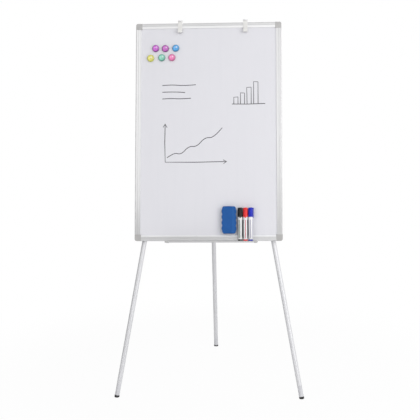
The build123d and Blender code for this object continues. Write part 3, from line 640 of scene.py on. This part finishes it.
def makeButton(name, look):
    sizes = magnetSizes
    rimRadius = look["radius"] - sizes["rim"]
    rimHeight = look["height"] - sizes["skirt"]
    profile = [(0, 0), (look["radius"] - sizes["foot"], 0), (look["radius"], sizes["foot"]),
               (look["radius"], sizes["skirt"])]
    for step in range(1, sizes["roundSteps"] + 1):
        turn = pi / 2 * step / sizes["roundSteps"]
        profile.append((rimRadius + sizes["rim"] * cos(turn), sizes["skirt"] + rimHeight * sin(turn)))
    for step in range(1, sizes["roundSteps"] + 1):
        share = step / sizes["roundSteps"]
        profile.append((rimRadius * (1 - share), look["height"] - sizes["dish"] * (1 - cos(pi * share)) / 2))
    shape = bmesh.new()
    points = [shape.verts.new((radius, 0, height)) for radius, height in profile]
    line = [shape.edges.new(pair) for pair in zip(points, points[1:])]
    bmesh.ops.spin(shape, geom=points + line, cent=(0, 0, 0), axis=(0, 0, 1), angle=2 * pi,
                   steps=sizes["segments"], use_merge=True)
    bmesh.ops.remove_doubles(shape, verts=shape.verts, dist=1e-4)
    bmesh.ops.recalc_face_normals(shape, faces=shape.faces)
    place = boardSpace @ Matrix.Translation((look["u"], look["v"], look["seat"]))
    piece = addPiece(name.replace("magnet", "button"), shape, name, finishes[name], place,
                     sizes["sharpAngle"])
    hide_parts(name)


for name, look in magnetLooks.items():
    makeButton(name, look)
print("magnets turned")


# Round bar, cone or disc along z, from one height to another, with its far rim rounded
def addBar(shape, low, high, lowRadius, highRadius, segments=32, rim=0.0, place=None):
    place = place or Matrix.Identity(4)
    middle = place @ Matrix.Translation((0, 0, (low + high) / 2))
    made = bmesh.ops.create_cone(shape, cap_ends=True, segments=segments, radius1=lowRadius,
                                 radius2=highRadius, depth=high - low, matrix=middle)
    if rim:
        verts = set(made["verts"])
        top = place @ Vector((0, 0, high))
        up = (place.to_3x3() @ Vector((0, 0, 1))).normalized()
        edges = [edge for edge in shape.edges if verts.issuperset(edge.verts)
                 and all(abs((vert.co - top).dot(up)) < 1e-4 for vert in edge.verts)]
        bmesh.ops.bevel(shape, geom=edges, offset=rim, segments=2, profile=0.5, affect="EDGES", material=-1,
                        clamp_overlap=True)


# Button-head screw with a six-sided socket, its head standing up along z. Its form is in shares of its size.
headForm = {"taper": 0.82, "segments": 30, "rim": 0.3, "socket": 0.42, "depth": 0.6}


def addScrew(shape, sizes, place):
    head = bmesh.new()
    addBar(head, 0, sizes["height"], sizes["radius"], sizes["radius"] * headForm["taper"],
           headForm["segments"], sizes["height"] * headForm["rim"])
    top = max(head.faces, key=lambda face: face.calc_center_median().z)
    rim = list(top.edges)
    bmesh.ops.delete(head, geom=[top], context="FACES_ONLY")
    socket = bmesh.ops.create_circle(head, cap_ends=False, segments=6,
                                     radius=sizes["radius"] * headForm["socket"],
                                     matrix=Matrix.Translation((0, 0, sizes["height"])))["verts"]
    socketEdges = [edge for edge in head.edges if set(edge.verts) <= set(socket)]
    bmesh.ops.bridge_loops(head, edges=rim + socketEdges)
    walls = bmesh.ops.extrude_edge_only(head, edges=socketEdges)["geom"]
    floor = [item for item in walls if isinstance(item, bmesh.types.BMVert)]
    bmesh.ops.translate(head, verts=floor, vec=(0, 0, -sizes["height"] * headForm["depth"]))
    bmesh.ops.contextual_create(head, geom=[item for item in walls if isinstance(item, bmesh.types.BMEdge)
                                            and set(item.verts) <= set(floor)])
    bmesh.ops.recalc_face_normals(head, faces=head.faces)
    head.transform(place)
    mesh = bpy.data.meshes.new("screw")
    head.to_mesh(mesh)
    head.free()
    shape.from_mesh(mesh)
    bpy.data.meshes.remove(mesh)


def screwGroup(name, sizes, places, body, space):
    shape = bmesh.new()
    for place in places:
        addScrew(shape, sizes, place)
    addPiece(name, shape, body, finishes["pin_steel"], space)


faceBack = Matrix.Rotation(pi, 4, "X")  # z turned from out of the board to behind it
faceDown = Matrix.Rotation(pi / 2, 4, "X")  # z turned from out of the board to down it
bracketLow, bracketHigh = boxIn(boardSpace, "head_bracket")
clevisHigh = boxIn(boardSpace, "rear_clevis")[1]
trayLow, trayHigh = boxIn(boardSpace, "pen_tray")
pivotHeight = (boardSpace.inverted() @ Vector(joints["fold_rear"]["pos_m"])).y
bracketScrews = {"radius": 4.2, "height": 2.4, "sheet": 2.5, "below": 10, "inset": 19, "count": 4}
clevisScrews = {"radius": 3.6, "height": 2.2, "base": 3, "columns": (-23, 23), "rows": (-13, 13)}
trayScrews = {"radius": 3.4, "height": 1.9, "flange": 1.8, "w": -8, "inset": 52, "count": 3}


def spread(low, high, count):
    return [low + (high - low) * step / (count - 1) for step in range(count)]


screwGroup("bracket_screws", bracketScrews,
           [Matrix.Translation((u, bracketHigh.y - bracketScrews["below"],
                                bracketHigh.z - bracketScrews["sheet"])) @ faceBack
            for u in spread(bracketLow.x + bracketScrews["inset"], bracketHigh.x - bracketScrews["inset"],
                            bracketScrews["count"])], "board", boardSpace)
screwGroup("clevis_screws", clevisScrews,
           [Matrix.Translation((u, pivotHeight + row, clevisHigh.z - clevisScrews["base"])) @ faceBack
            for u in clevisScrews["columns"] for row in clevisScrews["rows"]], "board", boardSpace)
screwGroup("tray_screws", trayScrews,
           [Matrix.Translation((u, -trayScrews["flange"], trayScrews["w"])) @ faceDown
            for u in spread(trayLow.x + trayScrews["inset"], trayHigh.x - trayScrews["inset"],
                            trayScrews["count"])], "board", boardSpace)

# Clamp rods: washer, hex nut and rod end on the collar's free lug, opposite the lever's lobe
clampSizes = {"lug": 9, "washerRadius": 5, "washer": 1, "washerSegments": 40, "washerRim": 0.2,
              "nutRadius": 4.4, "nut": 3.2, "rodRadius": 2, "rod": 5.6, "rodSegments": 24, "rim": 0.4}
for leg in legSpaces:
    sizes = clampSizes
    pin = legSpaces[leg].inverted() @ Vector(joints[f"lock_{leg}"]["pos_m"])
    side = 1 if pin.y > 0 else -1
    place = (Matrix.Translation((pin.x, -side * sizes["lug"], pin.z))
             @ Matrix.Rotation(side * pi / 2, 4, "X"))
    shape = bmesh.new()
    addBar(shape, 0, sizes["washer"], sizes["washerRadius"], sizes["washerRadius"],
           sizes["washerSegments"], sizes["washerRim"], place)
    addBar(shape, sizes["washer"], sizes["washer"] + sizes["nut"], sizes["nutRadius"], sizes["nutRadius"],
           6, sizes["rim"], place)
    addBar(shape, sizes["washer"], sizes["rod"], sizes["rodRadius"], sizes["rodRadius"],
           sizes["rodSegments"], sizes["rim"], place)
    addPiece(f"clamp_nut_{leg}", shape, f"leg_{leg}", finishes["pin_steel"], legSpaces[leg])
print("screws and clamp rods fitted")

# Felt nibs under the caps
nibSizes = {"sunk": 0.6, "length": 6, "radius": 2.3, "tip": 1.2, "segments": 28, "rim": 0.5}
for colour, place in penPlaces.items():
    shape = bmesh.new()
    stand = (Matrix.Translation((place["u"], place["tip"] - nibSizes["sunk"], place["axis"]))
             @ Matrix.Rotation(-pi / 2, 4, "X"))
    addBar(shape, 0, nibSizes["length"], nibSizes["radius"], nibSizes["tip"], nibSizes["segments"],
           nibSizes["rim"], stand)
    ink = f"ink_{colour}"
    addPiece(f"felt_nib_{colour}", shape, f"pen_{colour}", finishes[ink], boardSpace)
print("felt nibs fitted")

# Marker strokes: a plain line chart, a row of bars and a few rules, in millimetres on the board
strokeLook = {"width": 1.5, "proud": 0.12}
strokeLines = {
    "chartAxes": [(-178, 478), (-179, 400), (-177, 322), (-60, 321), (72, 323)],
    "chartLine": [(-170, 340), (-140, 362), (-112, 352), (-80, 388), (-48, 384), (-14, 424), (22, 420),
                  (56, 462)],
    "chartArrowTop": [(-186, 466), (-178, 480), (-170, 465)],
    "chartArrowSide": [(60, 330), (75, 323), (61, 315)],
    "barBase": [(96, 560), (160, 559), (232, 561)],
    "barOne": [(104, 561), (104, 588), (121, 589), (121, 561)],
    "barTwo": [(131, 561), (131, 606), (148, 605), (148, 561)],
    "barThree": [(158, 561), (157, 628), (175, 629), (175, 561)],
    "barFour": [(185, 561), (185, 652), (203, 651), (203, 561)],
    "ruleOne": [(-190, 640), (-150, 643), (-100, 638), (-52, 642)],
    "ruleTwo": [(-190, 612), (-140, 614), (-96, 610)],
    "ruleThree": [(-190, 584), (-152, 586), (-112, 583), (-72, 586)],
}


def makeInk():
    look = {"dark": paint(0.035, 0.035, 0.04), "light": paint(0.12, 0.12, 0.13), "scale": 900,
            "edge": (0.45, 0.75), "roughness": 0.55}
    finish = Finish("dryInk")
    patches = finish.noise(finish.inSpace(boardSpace), look["scale"], 4, 0.7).softStep(*look["edge"])
    return finish.surface(colour=finish.tint(look["dark"], look["light"], patches),
                          roughness=look["roughness"])


def makeStroke(name, points):
    curve = bpy.data.curves.new(name, "CURVE")
    curve.dimensions = "3D"
    curve.bevel_depth = strokeLook["width"]
    curve.bevel_resolution = 1
    curve.use_fill_caps = True
    curve.resolution_u = 6
    spline = curve.splines.new("POLY" if name.startswith(("bar", "chartA")) else "NURBS")
    spline.points.add(len(points) - 1)
    for index, (u, v) in enumerate(points):
        spline.points[index].co = (u, v, 0, 1)
    if spline.type == "NURBS":
        spline.order_u = 3
        spline.use_endpoint_u = True
    holder = bpy.data.objects.new(name, curve)
    mesh = bpy.data.meshes.new_from_object(holder)
    bpy.data.objects.remove(holder)
    bpy.data.curves.remove(curve)
    shape = bmesh.new()
    shape.from_mesh(mesh)
    bpy.data.meshes.remove(mesh)
    flat = Matrix.Diagonal((1, 1, strokeLook["proud"] / strokeLook["width"], 1))
    shape.transform(Matrix.Translation((0, 0, boardSizes["face"])) @ flat)
    bmesh.ops.recalc_face_normals(shape, faces=shape.faces)
    return shape


strokes = bmesh.new()
for name, points in strokeLines.items():
    stroke = makeStroke(name, points)
    mesh = bpy.data.meshes.new("stroke")
    stroke.to_mesh(mesh)
    stroke.free()
    strokes.from_mesh(mesh)
    bpy.data.meshes.remove(mesh)
addPiece("marker_strokes", strokes, "board", makeInk(), boardSpace, 60)
print("marker strokes drawn")


# Floor: pale, white to the camera and wholly so further out, and it keeps the easel's shadow
def makeFloor():
    look = {"dark": paint(0.86, 0.86, 0.86), "light": paint(0.89, 0.89, 0.89), "lift": 0.94, "near": 0.6,
            "far": 1.4, "cloudScale": 3, "roughness": 0.9}
    finish = Finish("studioFloor")
    place = finish.inSpace()
    tone = finish.noise(place, look["cloudScale"])
    shader = finish.add("BsdfPrincipled", None, {"Base Color": finish.tint(look["dark"], look["light"], tone),
                                                 "Roughness": look["roughness"]})
    glow = finish.add("Emission", None, {"Color": paint(1, 1, 1), "Strength": 1.0})
    reach = finish.add("VectorMath", {"operation": "LENGTH"}, {0: place}, 1)
    away = reach.softStep(look["near"], look["far"])
    seen = finish.add("LightPath")
    mixed = finish.add("MixShader", None, {0: seen * (look["lift"] + away * (1 - look["lift"])), 1: shader,
                                           2: glow})
    finish.add("OutputMaterial", None, {"Surface": mixed})
    return finish.material


floorShape = bmesh.new()
bmesh.ops.create_grid(floorShape, x_segments=1, y_segments=1, size=8)
floorMesh = bpy.data.meshes.new("floor")
floorShape.to_mesh(floorMesh)
floorShape.free()
floorMesh.materials.append(makeFloor())
floor = bpy.data.objects.new("floor", floorMesh)
bpy.context.scene.collection.objects.link(floor)

# Dark cards that the camera doesn't see: they give the tubes and rails a darker side, and the side card also
# shades the soft light. Each is turned about x, then about y.
cardLook = {
    "sideCard": {"place": (-2.3, 0.2, 1.0), "turn": (0, 90), "half": (1.5, 2.4), "tone": 0.06,
                 "shades": True},
    "frontCard": {"place": (0.2, -4.6, 0.6), "turn": (90, 0), "half": (2.6, 1.0), "tone": 0.22,
                  "shades": False},
}
weaveLook = {"scale": 40, "lighter": 1.2, "roughness": 0.9}
for name, look in cardLook.items():
    finish = Finish(name + "Cloth")
    weave = finish.noise(finish.inSpace(), weaveLook["scale"])
    tones = [grey(look["tone"]), grey(look["tone"] * weaveLook["lighter"])]
    cloth = finish.surface(colour=finish.tint(*tones, weave), roughness=weaveLook["roughness"])
    cardShape = bmesh.new()
    bmesh.ops.create_grid(cardShape, x_segments=1, y_segments=1, size=1)
    aboutX, aboutY = [radians(angle) for angle in look["turn"]]
    turn = Matrix.Rotation(aboutY, 4, "Y") @ Matrix.Rotation(aboutX, 4, "X")
    cardShape.transform(Matrix.Translation(look["place"]) @ turn @ Matrix.Diagonal((*look["half"], 1, 1)))
    cardMesh = bpy.data.meshes.new(name)
    cardShape.to_mesh(cardMesh)
    cardShape.free()
    cardMesh.materials.append(cloth)
    card = bpy.data.objects.new(name, cardMesh)
    card.visible_camera = False
    card.visible_diffuse = look["shades"]
    card.visible_shadow = False
    bpy.context.scene.collection.objects.link(card)

lampLook = {
    "key": {"place": (2.2, -2.7, 1.95), "aim": (0, 0, 0.55), "size": 3.4, "power": 52},
    "fill": {"place": (-2.6, -2.4, 1.45), "aim": (0, 0, 0.6), "size": 2.6, "power": 20},
    "back": {"place": (0.6, 3.2, 2.6), "aim": (0, 0, 0.8), "size": 2.4, "power": 26},
}
for name, look in lampLook.items():
    lamp = bpy.data.objects.new(name, bpy.data.lights.new(name, "AREA"))
    lamp.data.shape = "DISK"
    lamp.data.size = look["size"]
    lamp.data.energy = look["power"]
    aim = Vector(look["aim"]) - Vector(look["place"])
    lamp.matrix_world = Matrix.Translation(look["place"]) @ aim.to_track_quat("-Z", "Y").to_matrix().to_4x4()
    bpy.context.scene.collection.objects.link(lamp)

# World: even soft light on the easel, and white where the camera and reflections see it
skyLook = {"soft": paint(0.98, 0.98, 1.0), "strength": 0.66}
world = bpy.data.worlds.new("studio")
bpy.context.scene.world = world
sky = Finish("studio", world)
seen, glossy, through = sky.add("LightPath", output=("Is Camera Ray", "Is Glossy Ray",
                                                     "Is Transmission Ray"))
softLight = sky.add("Background", None, {"Color": skyLook["soft"], "Strength": skyLook["strength"]})
whiteBack = sky.add("Background", None, {"Color": paint(1, 1, 1), "Strength": 1.0})
sky.add("OutputWorld", None, {"Surface": sky.add("MixShader", None, {0: seen | glossy | through, 1: softLight,
                                                                    2: whiteBack})})
bpy.context.scene.view_settings.view_transform = "Standard"
print("studio lit")
